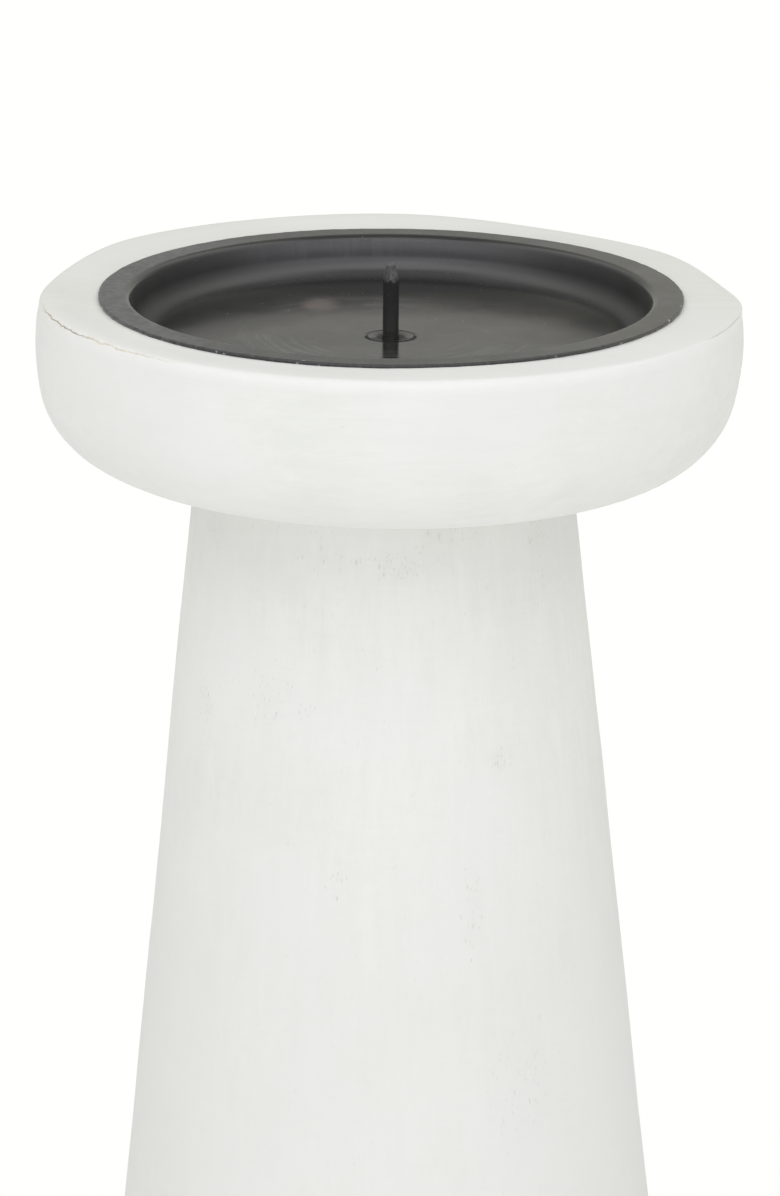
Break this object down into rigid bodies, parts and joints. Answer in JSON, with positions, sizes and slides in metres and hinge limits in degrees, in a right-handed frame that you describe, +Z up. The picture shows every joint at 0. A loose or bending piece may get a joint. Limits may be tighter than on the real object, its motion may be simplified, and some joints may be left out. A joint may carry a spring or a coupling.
{
  "type": "pillar candle holder",
  "caption": "Tall turned wooden candle holder: white-washed tapered column, round dish with a black drop-in metal drip pan and centre spike.",
  "frame": {"origin": "on the ground, at the centre of the foot", "axes": "+Z up along the turning axis, from the foot to the spike"},
  "size_m": [0.1197, 0.1198, 0.3099],
  "materials": {
    "white_wood": "matte white wash over turned wood, pores showing",
    "black_enamel": "semi-gloss black enamel",
    "zinc_steel": "zinc plated",
    "felt": "pressed grey felt"
  },
  "bodies": {
    "stand": {"column": "white_wood", "dish": "white_wood", "stem_screw": "zinc_steel", "felt_pad_1": "felt", "felt_pad_2": "felt", "felt_pad_3": "felt", "felt_pad_4": "felt"},
    "drip_pan": {"pan": "black_enamel", "spike": "black_enamel", "spike_washer": "black_enamel"}
  },
  "joints": [
    {"name": "pan_lift", "type": "slide", "parent": "stand", "child": "drip_pan", "axis": [0, 0, 1], "range_m": [0, 0.03]}
  ]
}
